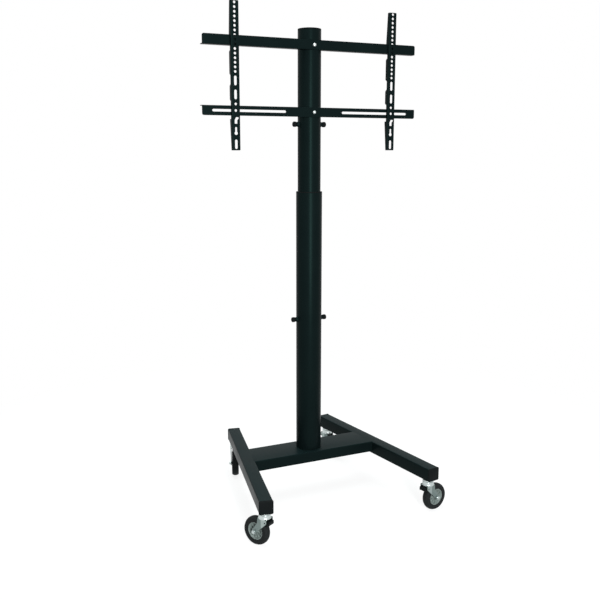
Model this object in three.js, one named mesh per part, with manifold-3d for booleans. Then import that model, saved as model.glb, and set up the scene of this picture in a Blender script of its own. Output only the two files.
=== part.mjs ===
// A rolling floor stand for a flat screen, in millimetres, +Z up.
// The origin is on the floor, midway between the base's front and rear reach and between the rail ends.
// The screen side faces -Y.
import * as THREE from "three";
import { mergeVertices } from "three/addons/utils/BufferGeometryUtils.js";
import Module from "manifold-3d";

const wasm = await Module();
wasm.setup();

// Clearances
const seatGap = 0.3; // between pieces that touch, or slide on each other
const cutOverrun = 1; // how far a cut runs past the faces it opens
const mergeTolerance = 1e-4;

// Base
const legSide = 40;
const legWall = 2;
const legCornerRadius = 4;
const legSpacing = 434; // between the legs' centre lines, beside the column
const legFrontReach = 328; // along a leg from beside the column, end cap and all
const legRearReach = 254;
const legSplay = THREE.MathUtils.degToRad(10);
const endCapThickness = 3;
const endCapSpigot = 9;
const endCapSpigotWall = 2;
const crossDepth = 108;
const crossHeight = 35;
const crossWall = 2;
const crossCornerRadius = 4;
const weldNutRadius = 10;
const weldNutHeight = 10;
const weldNutSink = 0.5; // into the leg's bottom wall, as its weld

// Casters
const casterHeight = 108;
const casterInset = 25; // from the end of the leg to the swivel axis
const casterTrail = 28;
const wheelRadius = 42;
const wheelWidth = 23;
const treadHalfFlat = 6.5;
const treadShoulder = 4;
const treadCrownShare = 0.25; // of the shoulder's drop, halfway out to the shoulder
const hubRadius = 26;
const hubRimWidth = 19.5;
const hubDishWidth = 12;
const hubRimThickness = 4;
const hubBossRadius = 8;
const axleRadius = 3;
const axleHeadRadius = 5.75;
const axleHeadHeight = 4;
const axleNutRadius = 5.8;
const axleNutHeight = 4.8;
const axleThreadEnd = 1.2;
const forkInnerWidth = 26;
const forkWall = 2.2;
const forkEyeRadius = 8;
const forkCrownBottom = 88; // above the floor
const forkCrownRadius = 18.5;
const forkCrownFront = 17;
const forkCrownRear = 14;
const forkElbowHeight = 66; // where the cheek's rear edge bends towards the axle
const forkThroatHeight = 78;
const forkEyeWrap = THREE.MathUtils.degToRad(225); // from the cheek's front edge to its rear edge
const raceRadius = 17;
const raceBottom = 101; // above the floor
const stemRadius = 6;
const stemLength = 34;
const stemChamfer = 1.5;
const kingpinHeadRadius = 8;
const kingpinHeadHeight = 3;
const pedalPivotAhead = 12; // ahead of the swivel axis
const pedalPivotHeight = 80;
const pedalPinRadius = 2;
const pedalRootRadius = 5;
const pedalReach = 13; // from the pivot to the toe edge
const pedalToeDrop = 7;
const pedalThickness = 11;
const pedalWidth = 20;
const brakeShoeReach = 13;
const brakeShoeRadius = 3;
const brakeShoeAngle = THREE.MathUtils.degToRad(-80);
const casterTurns = { frontLeft: 30, frontRight: -77, rearLeft: 161, rearRight: 200 };

// Column
const lowerTubeRadius = 40;
const lowerTubeWall = 3;
const lowerTubeLength = 824;
const upperTubeRadius = 35;
const upperTubeWall = 2.5;
const upperTubeFoot = 235; // above the base's top, as photographed
const columnRise = 48.6; // from the upper rail's middle to the rim of the top cap
const topCapRim = 3;
const topCapCrown = 1.5;
const topCapDome = 2.3;
const topCapSpigot = 18;
const topCapSpigotWall = 2.5;
const collarLip = 2.5;
const collarSkirt = 45;
const glideHeight = 15;
const glideSpigot = 20;
const glideSpigotWall = 3;
const footPlateThickness = 8;
const footBoltRadius = 5;
const footBoltHeadRadius = 8.5;
const footBoltHeadHeight = 6;
const footBoltSpacing = 40;
const footBoltStandOut = 6; // past the foot plate

// Hand screws
const lowerKnobHeight = 428; // above the base's top
const upperKnobDrop = 34.2; // below the lower rail's middle
const knobRadius = 8;
const knobNeckRadius = 5.5;
const knobLength = 11.5;
const knobRoundShare = 0.18; // of the knob's length, rounded at each end
const knobStudRadius = 4;
const upperStudTip = 3; // into the upper tube, past the inner face of its wall
const bossLength = 7;
const bossRootRadius = 10;
const bossTipRadius = 6.5;

// Rails
const railHeight = 28;
const railFlange = 20;
const railWall = 2;
const railCornerRadius = 6;
const upperRailLength = 682;
const lowerRailLength = 690;
const upperRailCentre = 1253.4; // above the base's top
const railSpacing = 191.7;
const railSlotInner = 91; // from the column's axis
const railSlotMargin = 29.5; // from a slot's outer end to the end of the rail
const railSlotWidth = 7;
const railBoltRadius = 3;
const railBoltHeadRadius = 5.25;
const railBoltHeadHeight = 3.3;
const railNutRadius = 5.8;
const railNutHeight = 5;
const railBoltThreadEnd = 3;

// Arms
const armWidth = 24;
const armWall = 2;
const armDepth = 17;
const armTopDepth = 10;
const armNeckDepth = 9;
const armFootDepth = 9;
const armCatchDepth = 18;
const armStandOff = 9.7; // from the front of an arm to the front of the rails
const armRise = 90.1; // above the upper rail
const armDrop = 97; // below the lower rail
const armCornerRadius = 2.5;
const armHookDrop = 8; // of the hook behind the upper rail
const armUpperNotchDrop = 13.4; // below the upper rail
const armUpperNotchSlope = 4;
const armNeckDrop = 199.5; // of the flange's neck, below the arm's top
const armNeckLength = 24;
const armNeckSlope = 5;
const armLowerNotchRise = 11.3; // above the lower rail
const armLowerNotchDrop = 9.7; // below the lower rail
const armHoleRadius = 3.7;
const armTopHoleDrop = 5.2; // below the arm's top
const armHoleCount = 16;
const armRowGap = 7.35; // from the row's last hole to the slot below it
const armSlotWidth = 8;
const armSlotLength = 26.5;
const armUpperSlotDrop = 214; // of the slots' and single holes' middles, below the arm's top
const armMiddleSlotDrop = 252;
const armUpperHoleDrop = 278;
const armLowerHoleDrop = 296;
const armFootSlotRise = 17.1; // of the lowest slot's middle, above the arm's foot
const latchHoleDrop = 4.7; // of the latch hole's top, below the lower rail
const latchHoleHeight = 18;
const latchHoleNeck = 10; // from its foot to its sideways step
const latchHoleShift = 4;
const keyholeRise = 48; // of the keyhole's eye, above the arm's foot
const keyholeLength = 17.3; // from the eye's middle to the top
const keyholeWidth = 6;
const keyholeRadius = 5;
const leftArmInset = 92; // from the end of the upper rail to the arm's middle, as photographed
const rightArmInset = 85.5;

// Facets
const tubeFacets = 32;
const wheelFacets = 20;
const smallFacets = 12;
const hexFacets = 6;
const cornerSteps = 1; // steps in each eighth of a circle
const holeSteps = 3; // steps in each quarter of a circle

// Worked out from the above
const baseTop = casterHeight + legSide;
const columnBack = ((legFrontReach - legRearReach) / 2) * Math.cos(legSplay);
const railFront = upperTubeRadius + seatGap + railWall; // in front of the column's axis
const armFront = railFront + armStandOff;
const lowerRailCentre = upperRailCentre - railSpacing;
const columnHeight = upperRailCentre + columnRise;
const upperTubeTop = columnHeight - topCapRim - seatGap;
const upperKnobHeight = lowerRailCentre - upperKnobDrop;
const upperRailTop = upperRailCentre + railHeight / 2;
const lowerRailTop = lowerRailCentre + railHeight / 2;
const lowerRailFoot = lowerRailTop - railHeight;
const armTop = upperRailTop + armRise;
const armFoot = lowerRailFoot - armDrop;
const lowerStudTip = lowerTubeRadius - lowerTubeWall - upperTubeRadius - seatGap;
const leftArmPlace = leftArmInset - upperRailLength / 2;
const rightArmPlace = upperRailLength / 2 - rightArmInset;

const paint = { color: 0x17191a, roughness: 0.5, metalness: 0.2 };
const plastic = { color: 0x0e0f10, roughness: 0.6, metalness: 0 };
const zinc = { color: 0xc4c8c9, roughness: 0.3, metalness: 0.9 };
const tread = { color: 0x1c1e1f, roughness: 0.8, metalness: 0 };
const hubGrey = { color: 0x83898a, roughness: 0.55, metalness: 0 };

// A closed geometry as a solid that can be joined and cut.
function solid(geometry) {
  const bare = geometry.clone();
  bare.deleteAttribute("normal");
  bare.deleteAttribute("uv");
  const merged = mergeVertices(bare, mergeTolerance);
  return new wasm.Manifold(
    new wasm.Mesh({
      numProp: 3,
      vertProperties: merged.attributes.position.array,
      triVerts: new Uint32Array(merged.index.array),
    }),
  );
}

function mesh(name, body, look) {
  const made = body.getMesh();
  const geometry = new THREE.BufferGeometry();
  geometry.setAttribute("position", new THREE.BufferAttribute(made.vertProperties, 3));
  geometry.setIndex(new THREE.BufferAttribute(made.triVerts, 1));
  geometry.computeVertexNormals();
  const piece = new THREE.Mesh(geometry, new THREE.MeshStandardMaterial(look));
  piece.name = name;
  return piece;
}

// A prism that stands on the XY plane.
function prism(shape, height, curveSegments = cornerSteps) {
  return new THREE.ExtrudeGeometry(shape, { depth: height, bevelEnabled: false, curveSegments });
}

// The shape's x and y become the part's X and Z, and the prism runs from Y = 0 to -Y.
function prismAlongY(shape, depth, steps) {
  return prism(shape, depth, steps).rotateX(Math.PI / 2);
}

// The shape's x and y become the part's Y and Z, and the prism is centred on X = 0.
function prismAlongX(shape, width, steps) {
  const turn = new THREE.Matrix4().set(0, 0, 1, 0, 1, 0, 0, 0, 0, 1, 0, 0, 0, 0, 0, 1);
  return prism(shape, width, steps).translate(0, 0, -width / 2).applyMatrix4(turn);
}

// A solid of revolution about Z from [radius, height] points, in either order round the outline.
function turned(outline, facets = smallFacets) {
  const points = outline.map(([radius, height]) => new THREE.Vector2(radius, height));
  const closed = points[0].x > 0 ? [...points, points[0].clone()] : points;
  if (THREE.ShapeUtils.area(points) < 0) closed.reverse();
  return new THREE.LatheGeometry(closed, facets).rotateX(Math.PI / 2);
}

function rod(radius, from, to, facets = smallFacets) {
  return turned([[0, from], [radius, from], [radius, to], [0, to]], facets);
}

function ring(inner, outer, from, to, facets = smallFacets) {
  return turned([[inner, from], [outer, from], [outer, to], [inner, to]], facets);
}

// What was made about Z, laid along X: up becomes +X.
const layAlongX = (geometry) => geometry.rotateY(Math.PI / 2);

// What was made about Z, laid along Y: up becomes -Y.
const layAlongY = (geometry) => geometry.rotateX(Math.PI / 2);

function roundedBox(width, height, radius, hole = false) {
  const shape = hole ? new THREE.Path() : new THREE.Shape();
  const x = width / 2 - radius;
  const y = height / 2 - radius;
  shape.absarc(x, y, radius, 0, Math.PI / 2);
  shape.absarc(-x, y, radius, Math.PI / 2, Math.PI);
  shape.absarc(-x, -y, radius, Math.PI, Math.PI * 1.5);
  shape.absarc(x, -y, radius, Math.PI * 1.5, Math.PI * 2);
  return shape;
}

function tubeSection(width, height, wall, radius) {
  const shape = roundedBox(width, height, radius);
  shape.holes.push(roundedBox(width - 2 * wall, height - 2 * wall, radius - wall, true));
  return shape;
}

// An upright slot with round ends, or a round hole where top and foot are alike.
function slotPath(x, foot, top, radius) {
  const path = new THREE.Path();
  path.absarc(x, top, radius, 0, Math.PI);
  path.absarc(x, foot, radius, Math.PI, Math.PI * 2);
  return path;
}

function levelSlotPath(from, to, z, radius) {
  const path = new THREE.Path();
  path.absarc(to, z, radius, -Math.PI / 2, Math.PI / 2);
  path.absarc(from, z, radius, Math.PI / 2, Math.PI * 1.5);
  return path;
}

const drawn = (points) => new THREE.Shape(points.map(([x, y]) => new THREE.Vector2(x, y)));

// Each leg: a square tube that starts at the rear end of its group's Y axis, which runs along the leg.
function legTube(name) {
  const tubeRear = legRearReach - endCapThickness - seatGap;
  const tubeFront = legFrontReach - endCapThickness - seatGap;
  const section = tubeSection(legSide, legSide, legWall, legCornerRadius);
  const tube = prismAlongY(section, tubeRear + tubeFront);
  tube.translate(0, tubeRear, casterHeight + legSide / 2);
  let leg = solid(tube);
  const wallTop = casterHeight + legWall;
  for (const y of [legRearReach - casterInset, casterInset - legFrontReach]) {
    const nut = rod(weldNutRadius, wallTop - weldNutSink, wallTop + weldNutHeight, hexFacets);
    const bore = rod(stemRadius + seatGap, casterHeight - cutOverrun, wallTop + weldNutHeight + cutOverrun);
    leg = leg.add(solid(nut.translate(0, y, 0)));
    leg = leg.subtract(solid(bore.translate(0, y, 0)));
  }
  return mesh(name, leg, paint);
}

// A plug for a leg's end, with a hollow spigot; forward is 1 on the front end and -1 on the rear end.
function endCap(name, forward) {
  const face = prismAlongY(roundedBox(legSide, legSide, legCornerRadius), endCapThickness);
  const spigotSide = legSide - 2 * (legWall + seatGap);
  const spigotRadius = legCornerRadius - legWall;
  const spigot = tubeSection(spigotSide, spigotSide, endCapSpigotWall, spigotRadius + endCapSpigotWall);
  const spigotLength = endCapSpigot + endCapThickness / 2;
  const body = solid(face).add(solid(prismAlongY(spigot, spigotLength).translate(0, spigotLength, 0)));
  const cap = mesh(name, body, plastic);
  const reach = forward > 0 ? legFrontReach : legRearReach;
  cap.rotation.z = forward > 0 ? 0 : Math.PI;
  cap.position.set(0, -forward * (reach - endCapThickness), casterHeight + legSide / 2);
  return cap;
}

function legBlock(side) {
  const clear = legSide + 2 * seatGap;
  const block = new THREE.BoxGeometry(clear, legFrontReach + legRearReach, 2 * legSide);
  block.translate(0, (legRearReach - legFrontReach) / 2, casterHeight + legSide / 2);
  block.rotateZ(side * legSplay);
  return solid(block.translate((side * legSpacing) / 2, 0, 0));
}

function crossMember() {
  const section = tubeSection(crossDepth, crossHeight, crossWall, crossCornerRadius);
  const tube = prismAlongX(section, legSpacing).translate(0, 0, baseTop - crossHeight / 2);
  let cross = solid(tube).subtract(legBlock(1)).subtract(legBlock(-1));
  for (const x of [-footBoltSpacing / 2, footBoltSpacing / 2]) {
    const low = baseTop - crossHeight - cutOverrun;
    const hole = rod(footBoltRadius + seatGap, low, baseTop + cutOverrun);
    cross = cross.subtract(solid(hole.translate(x, 0, 0)));
  }
  return mesh("cross_member", cross, paint);
}

// The foot plate is welded in the lower tube's foot, and two bolts hold it from below the cross member.
function columnFoot() {
  const plateFoot = baseTop + seatGap;
  const plateTop = plateFoot + footPlateThickness;
  const plateRadius = lowerTubeRadius - lowerTubeWall - seatGap;
  let plate = solid(rod(plateRadius, plateFoot, plateTop, tubeFacets));
  const headTop = baseTop - crossHeight - seatGap;
  const bolts = ["left", "right"].map((side, i) => {
    const x = (i - 0.5) * footBoltSpacing;
    const hole = rod(footBoltRadius + seatGap, plateFoot - cutOverrun, plateTop + cutOverrun);
    plate = plate.subtract(solid(hole.translate(x, 0, 0)));
    const head = solid(rod(footBoltHeadRadius, headTop - footBoltHeadHeight, headTop, hexFacets));
    const shank = solid(rod(footBoltRadius, headTop - footBoltHeadHeight / 2, plateTop + footBoltStandOut));
    const bolt = mesh("foot_bolt_" + side, head.add(shank), zinc);
    bolt.position.x = x;
    return bolt;
  });
  return [mesh("foot_plate", plate, paint), ...bolts];
}

// A round tube with the holes of its hand screws in both sides.
function roundTube(radius, wall, foot, top, knobHeight) {
  const tube = solid(ring(radius - wall, radius, foot, top, tubeFacets));
  const bore = layAlongX(rod(knobStudRadius + seatGap, -radius - cutOverrun, radius + cutOverrun));
  return tube.subtract(solid(bore.translate(0, 0, knobHeight)));
}

function lowerTube() {
  const foot = baseTop + seatGap;
  const knobs = baseTop + lowerKnobHeight;
  return mesh(
    "lower_tube",
    roundTube(lowerTubeRadius, lowerTubeWall, foot, baseTop + lowerTubeLength, knobs),
    paint,
  );
}

// A plastic ring in the lower tube's mouth, with a lip that covers the tube's edge.
function guideCollar() {
  const mouth = baseTop + lowerTubeLength;
  const inner = upperTubeRadius + seatGap;
  const skirt = lowerTubeRadius - lowerTubeWall - seatGap;
  const lipFoot = mouth + seatGap;
  const outline = [
    [inner, mouth - collarSkirt],
    [skirt, mouth - collarSkirt],
    [skirt, lipFoot],
    [lowerTubeRadius, lipFoot],
    [lowerTubeRadius, lipFoot + collarLip / 2],
    [lowerTubeRadius - collarLip / 2, lipFoot + collarLip],
    [inner, lipFoot + collarLip],
  ];
  return mesh("guide_collar", solid(turned(outline, tubeFacets)), plastic);
}

function upperTube() {
  let tube = roundTube(
    upperTubeRadius,
    upperTubeWall,
    baseTop + upperTubeFoot,
    baseTop + upperTubeTop,
    baseTop + upperKnobHeight,
  );
  for (const centre of [upperRailCentre, lowerRailCentre]) {
    const hole = layAlongY(rod(railBoltRadius + seatGap, 0, upperTubeRadius + cutOverrun));
    tube = tube.subtract(solid(hole.translate(0, 0, baseTop + centre)));
  }
  return mesh("upper_tube", tube, paint);
}

// A plastic ring under the upper tube, which guides its foot in the lower tube.
function glideRing() {
  const top = baseTop + upperTubeFoot - seatGap;
  const outer = lowerTubeRadius - lowerTubeWall - seatGap;
  const spigot = upperTubeRadius - upperTubeWall - seatGap;
  const outline = [
    [spigot - glideSpigotWall, top - glideHeight],
    [outer, top - glideHeight],
    [outer, top],
    [spigot, top],
    [spigot, top + glideSpigot],
    [spigot - glideSpigotWall, top + glideSpigot],
  ];
  return mesh("glide_ring", solid(turned(outline, tubeFacets)), plastic);
}

function topCap() {
  const rimFoot = baseTop + upperTubeTop + seatGap;
  const rimTop = baseTop + columnHeight;
  const spigot = upperTubeRadius - upperTubeWall - seatGap;
  const inner = spigot - topCapSpigotWall;
  const outline = [
    [0, rimFoot],
    [inner, rimFoot],
    [inner, rimFoot - topCapSpigot],
    [spigot, rimFoot - topCapSpigot],
    [spigot, rimFoot],
    [upperTubeRadius, rimFoot],
    [upperTubeRadius, rimTop - topCapCrown],
    [upperTubeRadius - topCapCrown, rimTop],
    [upperTubeRadius / 2, rimTop + topCapCrown],
    [0, rimTop + topCapDome],
  ];
  return mesh("top_cap", solid(turned(outline, tubeFacets)), plastic);
}

// A boss and its hand screw on one side of a tube; side is -1 on the left and 1 on the right.
function handScrew(level, side, tubeRadius, tubeWall, height, studTip) {
  const name = level + (side < 0 ? "_left_" : "_right_");
  const root = tubeRadius - tubeWall;
  const tip = tubeRadius + bossLength;
  const bore = knobStudRadius + seatGap;
  const outline = [
    [bore, root],
    [bossRootRadius, root],
    [bossRootRadius, tubeRadius],
    [bossTipRadius, tip],
    [bore, tip],
  ];
  const keepOut = rod(tubeRadius + seatGap, -2 * bossRootRadius, 2 * bossRootRadius, tubeFacets);
  const bossBody = solid(layAlongX(turned(outline))).subtract(solid(keepOut));
  const knobFoot = tip + seatGap;
  const knobTop = knobFoot + knobLength;
  const round = knobLength * knobRoundShare;
  const knobOutline = [
    [0, root - studTip],
    [knobStudRadius, root - studTip],
    [knobStudRadius, knobFoot],
    [knobNeckRadius, knobFoot],
    [knobRadius, knobFoot + round],
    [knobRadius, knobTop - round],
    [knobRadius - round, knobTop],
    [0, knobTop],
  ];
  const pieces = [
    mesh(name + "boss", bossBody, paint),
    mesh(name + "knob", solid(layAlongX(turned(knobOutline))), plastic),
  ];
  for (const piece of pieces) {
    piece.rotation.z = side < 0 ? Math.PI : 0;
    piece.position.z = baseTop + height;
  }
  return pieces;
}

// A folded steel angle across the front of the upper tube; up is 1 where its flange is at the top.
function railBody(length, centre, up) {
  const face = new THREE.Shape();
  const x = length / 2;
  const folded = (up * railHeight) / 2;
  const free = -folded;
  const corner = free + up * railCornerRadius;
  face.moveTo(-x, folded);
  face.lineTo(-x, corner);
  face.quadraticCurveTo(-x, free, -x + railCornerRadius, free);
  face.lineTo(x - railCornerRadius, free);
  face.quadraticCurveTo(x, free, x, corner);
  face.lineTo(x, folded);
  const back = -(railFront - railWall);
  const web = solid(prismAlongY(face, railWall).translate(0, back, 0));
  const flange = new THREE.BoxGeometry(length, railFlange, railWall);
  flange.translate(0, railFlange / 2 - railFront, folded - (up * railWall) / 2);
  const clear = rod(upperTubeRadius + seatGap, -railHeight, railHeight, tubeFacets);
  const hole = layAlongY(rod(railBoltRadius + seatGap, 0, railFront + cutOverrun));
  const body = web.add(solid(flange)).subtract(solid(clear)).subtract(solid(hole));
  return body.translate([0, 0, baseTop + centre]);
}

function upperRail() {
  return mesh("upper_rail", railBody(upperRailLength, upperRailCentre, -1), paint);
}

function lowerRail() {
  let body = railBody(lowerRailLength, lowerRailCentre, 1);
  const radius = railSlotWidth / 2;
  for (const side of [-1, 1]) {
    const slotOuter = lowerRailLength / 2 - railSlotMargin;
    const ends = [railSlotInner + radius, slotOuter - radius].map((x) => side * x);
    const path = levelSlotPath(Math.min(...ends), Math.max(...ends), baseTop + lowerRailCentre, radius);
    const slot = prismAlongY(new THREE.Shape(path.getPoints(holeSteps)), railWall + 2 * cutOverrun);
    body = body.subtract(solid(slot.translate(0, railWall + cutOverrun - railFront, 0)));
  }
  return mesh("lower_rail", body, paint);
}

// The bolt that holds a rail to the upper tube, and its nut inside the tube.
function railBolt(level, centre) {
  const headFoot = railFront + seatGap;
  const headTop = headFoot + railBoltHeadHeight;
  const inside = upperTubeRadius - upperTubeWall;
  const nutFront = Math.sqrt(inside ** 2 - railNutRadius ** 2) - seatGap;
  const nutBack = nutFront - railNutHeight;
  const bolt = turned([
    [0, nutBack - railBoltThreadEnd],
    [railBoltRadius, nutBack - railBoltThreadEnd],
    [railBoltRadius, headFoot],
    [railBoltHeadRadius, headFoot],
    [railBoltHeadRadius, headFoot + railBoltHeadHeight / 2],
    [railBoltHeadRadius / 2, headTop],
    [0, headTop],
  ]);
  const nut = solid(rod(railNutRadius, nutBack, nutFront, hexFacets)).subtract(
    solid(rod(railBoltRadius + seatGap, nutBack - cutOverrun, nutFront + cutOverrun)),
  );
  const pieces = [
    mesh(level + "_rail_bolt", solid(bolt), zinc),
    mesh(level + "_rail_nut", nut, zinc),
  ];
  for (const piece of pieces) {
    piece.rotation.x = Math.PI / 2;
    piece.position.z = baseTop + centre;
  }
  return pieces;
}

// The flange's outline beside the web, as depth behind the arm's front and height above the base's top.
function armFlangeOutline() {
  const notch = armStandOff - seatGap;
  const hook = armStandOff + railWall + seatGap;
  const neckTop = armTop - armNeckDrop;
  const neckFoot = neckTop - armNeckLength;
  const upperNotchFoot = upperRailTop - railHeight - armUpperNotchDrop;
  const lowerNotchTop = lowerRailTop + armLowerNotchRise;
  const catchTop = lowerRailFoot - armLowerNotchDrop;
  return [
    [0, armTop],
    [0, armFoot],
    [armFootDepth, armFoot],
    [armCatchDepth, catchTop],
    [notch, catchTop + seatGap],
    [notch, lowerNotchTop],
    [armDepth, lowerNotchTop + armNeckSlope],
    [armDepth, neckFoot - armNeckSlope],
    [armNeckDepth, neckFoot],
    [armNeckDepth, neckTop],
    [armDepth, neckTop + armNeckSlope],
    [armDepth, upperNotchFoot - armUpperNotchSlope],
    [notch, upperNotchFoot],
    [notch, upperRailTop + seatGap],
    [hook, upperRailTop + seatGap],
    [hook, upperRailTop - armHookDrop],
    [armDepth, upperRailTop - armHookDrop],
    [armDepth, upperRailTop + seatGap],
    [armTopDepth, armTop],
  ];
}

function armWebShape() {
  const web = roundedBox(armWidth, armTop - armFoot, armCornerRadius);
  const middle = (armTop + armFoot) / 2;
  const points = web.getPoints(cornerSteps).map((p) => new THREE.Vector2(p.x, p.y + middle));
  const shape = new THREE.Shape(points);
  const addSlot = (foot, top, radius) => shape.holes.push(slotPath(0, foot + radius, top - radius, radius));
  const upperSlot = armTop - armUpperSlotDrop;
  const rowTop = armTop - armTopHoleDrop;
  const rowFoot = upperSlot + armSlotLength / 2 + armRowGap + armHoleRadius;
  const pitch = (rowTop - rowFoot) / (armHoleCount - 1);
  const holes = Array.from({ length: armHoleCount }, (_, i) => rowTop - i * pitch);
  for (const z of [...holes, armTop - armUpperHoleDrop, armTop - armLowerHoleDrop]) {
    addSlot(z - armHoleRadius, z + armHoleRadius, armHoleRadius);
  }
  for (const z of [upperSlot, armTop - armMiddleSlotDrop, armFoot + armFootSlotRise]) {
    addSlot(z - armSlotLength / 2, z + armSlotLength / 2, armSlotWidth / 2);
  }
  return shape;
}

// The arm's web with its holes, and its flange on the left, cut round the rails.
function arm(name, place) {
  const web = solid(prismAlongY(armWebShape(), armWall, holeSteps).translate(0, armWall, 0));
  const outline = armFlangeOutline();
  const flange = solid(prismAlongX(drawn(outline), armWall).translate((armWall - armWidth) / 2, 0, 0));
  const latchRadius = armSlotWidth / 2;
  const through = armWall + 2 * cutOverrun;
  const cutThrough = (shape) => {
    const cut = prismAlongY(shape, through, holeSteps);
    return solid(cut.translate(0, armWall + cutOverrun, 0));
  };
  const latchTop = lowerRailFoot - latchHoleDrop;
  const latchFoot = latchTop - latchHoleHeight;
  const latchStep = latchFoot + latchHoleNeck;
  const latch = drawn([
    [-latchRadius, latchFoot],
    [latchRadius, latchFoot],
    [latchRadius, latchStep],
    [latchRadius + latchHoleShift, latchStep + latchHoleShift],
    [latchRadius + latchHoleShift, latchTop],
    [latchHoleShift - latchRadius, latchTop],
    [-latchRadius, latchTop - 2 * latchHoleShift],
  ]);
  const neckRadius = keyholeWidth / 2;
  const keyholeCentre = armFoot + keyholeRise;
  const neckPath = slotPath(0, keyholeCentre, keyholeCentre + keyholeLength - neckRadius, neckRadius);
  const neck = new THREE.Shape(neckPath.getPoints(holeSteps));
  const eyePath = slotPath(0, keyholeCentre, keyholeCentre, keyholeRadius);
  const eye = new THREE.Shape(eyePath.getPoints(holeSteps));
  const body = web
    .add(flange)
    .subtract(cutThrough(latch))
    .subtract(cutThrough(neck))
    .subtract(cutThrough(eye));
  const piece = mesh(name, body, paint);
  piece.position.set(place, -armFront, baseTop);
  return piece;
}

// A caster's pieces stand about its swivel axis, with the wheel behind it on +Y.
function casterStem(name) {
  const top = casterHeight - seatGap;
  const crownUnder = forkCrownBottom - seatGap;
  const outline = [
    [0, crownUnder - kingpinHeadHeight],
    [kingpinHeadRadius, crownUnder - kingpinHeadHeight],
    [kingpinHeadRadius, crownUnder],
    [stemRadius, crownUnder],
    [stemRadius, raceBottom],
    [raceRadius, raceBottom],
    [raceRadius, top],
    [stemRadius, top],
    [stemRadius, top + stemLength - stemChamfer],
    [stemRadius - stemChamfer, top + stemLength],
    [0, top + stemLength],
  ];
  return mesh(name, solid(turned(outline)), zinc);
}

function casterFork(name) {
  const side = new THREE.Shape();
  const eyeY = casterTrail;
  const eyeZ = wheelRadius;
  const crownTop = forkCrownBottom + forkWall;
  side.moveTo(-forkCrownFront, crownTop);
  side.lineTo(-forkCrownFront, forkThroatHeight);
  side.lineTo(eyeY - forkEyeRadius, eyeZ);
  side.absarc(eyeY, eyeZ, forkEyeRadius, Math.PI, Math.PI + forkEyeWrap);
  side.lineTo(forkCrownRear, forkElbowHeight);
  side.lineTo(forkCrownRear, crownTop);
  const outerWidth = forkInnerWidth + 2 * forkWall;
  const cheeks = solid(prismAlongX(side, outerWidth));
  const gap = new THREE.BoxGeometry(forkInnerWidth, 4 * wheelRadius, 2 * forkCrownBottom);
  const dome = turned([
    [0, crownTop - forkWall],
    [forkCrownRadius, crownTop - forkWall],
    [forkCrownRadius, crownTop],
    [raceRadius, raceBottom - seatGap],
    [0, raceBottom - seatGap],
  ]);
  const kingpinBore = rod(stemRadius + seatGap, forkCrownBottom - cutOverrun, raceBottom + cutOverrun);
  const axleBore = layAlongX(rod(axleRadius + seatGap, -outerWidth, outerWidth)).translate(0, eyeY, eyeZ);
  const pinBore = layAlongX(rod(pedalPinRadius + seatGap, -outerWidth, outerWidth));
  pinBore.translate(0, -pedalPivotAhead, pedalPivotHeight);
  const body = cheeks
    .subtract(solid(gap))
    .add(solid(dome))
    .subtract(solid(kingpinBore))
    .subtract(solid(axleBore))
    .subtract(solid(pinBore));
  return mesh(name, body, zinc);
}

function casterTyre(name) {
  const half = wheelWidth / 2;
  const outline = [
    [hubRadius, -half],
    [wheelRadius - treadShoulder, -half],
    [wheelRadius - treadShoulder * treadCrownShare, -(half + treadHalfFlat) / 2],
    [wheelRadius, -treadHalfFlat],
    [wheelRadius, treadHalfFlat],
    [wheelRadius - treadShoulder * treadCrownShare, (half + treadHalfFlat) / 2],
    [wheelRadius - treadShoulder, half],
    [hubRadius, half],
  ];
  return mesh(name, solid(layAlongX(turned(outline, wheelFacets))), tread);
}

function casterHub(name) {
  const outer = hubRadius - seatGap;
  const rim = hubRimWidth / 2;
  const dish = hubDishWidth / 2;
  const boss = (forkInnerWidth - 4 * seatGap) / 2;
  const bore = axleRadius + seatGap;
  const outline = [
    [bore, -boss],
    [hubBossRadius, -boss],
    [hubBossRadius, -dish],
    [outer - hubRimThickness, -rim],
    [outer, -rim],
    [outer, rim],
    [outer - hubRimThickness, rim],
    [hubBossRadius, dish],
    [hubBossRadius, boss],
    [bore, boss],
  ];
  return mesh(name, solid(layAlongX(turned(outline, wheelFacets))), hubGrey);
}

// The axle bolt's head is on the caster's -X side and its nut on the +X side.
function casterAxle(boltName, nutName) {
  const cheek = forkInnerWidth / 2 + forkWall + seatGap;
  const nutEnd = cheek + axleNutHeight;
  const shank = rod(axleRadius, -cheek - axleHeadHeight / 2, nutEnd + axleThreadEnd);
  const head = rod(axleHeadRadius, -cheek - axleHeadHeight, -cheek, hexFacets);
  const bolt = solid(head).add(solid(shank));
  const nut = solid(rod(axleNutRadius, cheek, nutEnd, hexFacets)).subtract(
    solid(rod(axleRadius + seatGap, cheek - cutOverrun, nutEnd + cutOverrun)),
  );
  return [mesh(boltName, bolt, zinc), mesh(nutName, nut, zinc)].map((piece) => {
    piece.rotation.y = Math.PI / 2;
    piece.position.set(0, casterTrail, wheelRadius);
    return piece;
  });
}

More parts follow.
